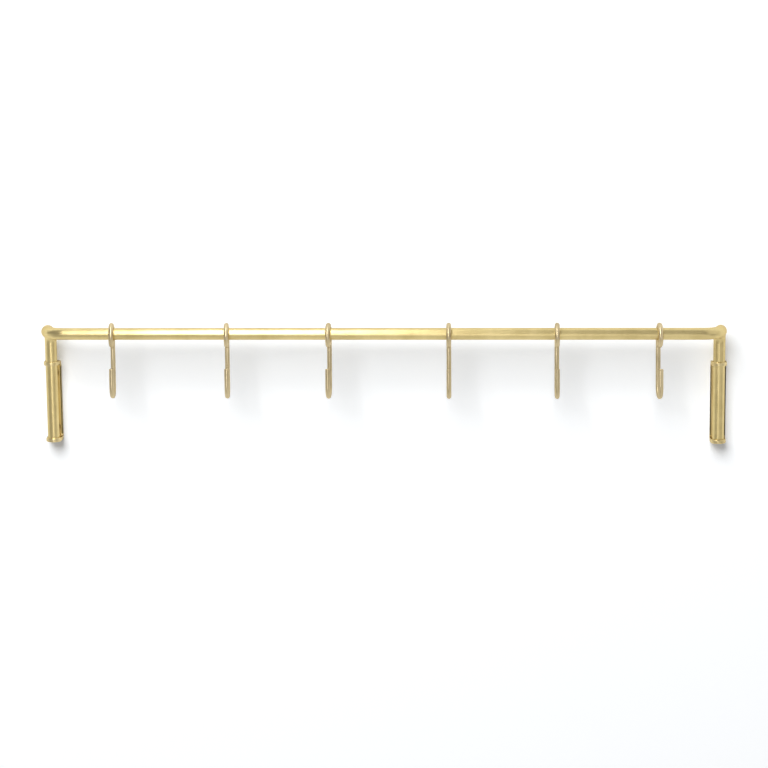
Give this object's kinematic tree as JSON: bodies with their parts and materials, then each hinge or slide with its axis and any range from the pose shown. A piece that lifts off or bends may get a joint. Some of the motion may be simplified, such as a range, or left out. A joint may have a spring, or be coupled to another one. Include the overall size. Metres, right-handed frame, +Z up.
{
  "type": "kitchen utensil rail",
  "caption": "Wall-mounted brass utensil rail: a round bar bent back and down at its ends into folded screw-on brackets, with bent-wire hooks that swing on the bar.",
  "frame": {"origin": "centre of the four bracket screw holes, on the wall plane that the brackets' back faces lie on", "axes": "+X along the rail to the right as seen from the room, +Y into the wall, +Z up"},
  "size_m": [0.583, 0.0526, 0.1073],
  "materials": {
    "rail_brass": "satin, lightly tarnished",
    "bracket_brass": "satin, lightly tarnished",
    "hook_brass": "satin, dull tarnish"
  },
  "bodies": {
    "wall_rail": {"rail": "rail_brass", "left_bracket": "bracket_brass", "right_bracket": "bracket_brass"},
    "hook_1": {"hook_1": "hook_brass"},
    "hook_2": {"hook_2": "hook_brass"},
    "hook_3": {"hook_3": "hook_brass"},
    "hook_4": {"hook_4": "hook_brass"},
    "hook_5": {"hook_5": "hook_brass"},
    "hook_6": {"hook_6": "hook_brass"}
  },
  "joints": [
    {"name": "hook_1_swing", "type": "hinge", "parent": "wall_rail", "child": "hook_1", "pos_m": [-0.227, -0.0395, 0.063], "axis": [-1, 0, 0], "range_deg": [-43, 216]},
    {"name": "hook_2_swing", "type": "hinge", "parent": "wall_rail", "child": "hook_2", "pos_m": [-0.1295, -0.0395, 0.063], "axis": [-1, 0, 0], "range_deg": [-43, 216]},
    {"name": "hook_3_swing", "type": "hinge", "parent": "wall_rail", "child": "hook_3", "pos_m": [-0.0435, -0.0395, 0.063], "axis": [-1, 0, 0], "range_deg": [-43, 216]},
    {"name": "hook_4_swing", "type": "hinge", "parent": "wall_rail", "child": "hook_4", "pos_m": [0.0575, -0.0395, 0.063], "axis": [-1, 0, 0], "range_deg": [-43, 216]},
    {"name": "hook_5_swing", "type": "hinge", "parent": "wall_rail", "child": "hook_5", "pos_m": [0.148, -0.0395, 0.063], "axis": [-1, 0, 0], "range_deg": [-43, 216]},
    {"name": "hook_6_swing", "type": "hinge", "parent": "wall_rail", "child": "hook_6", "pos_m": [0.233, -0.0395, 0.063], "axis": [-1, 0, 0], "range_deg": [-43, 216]}
  ]
}
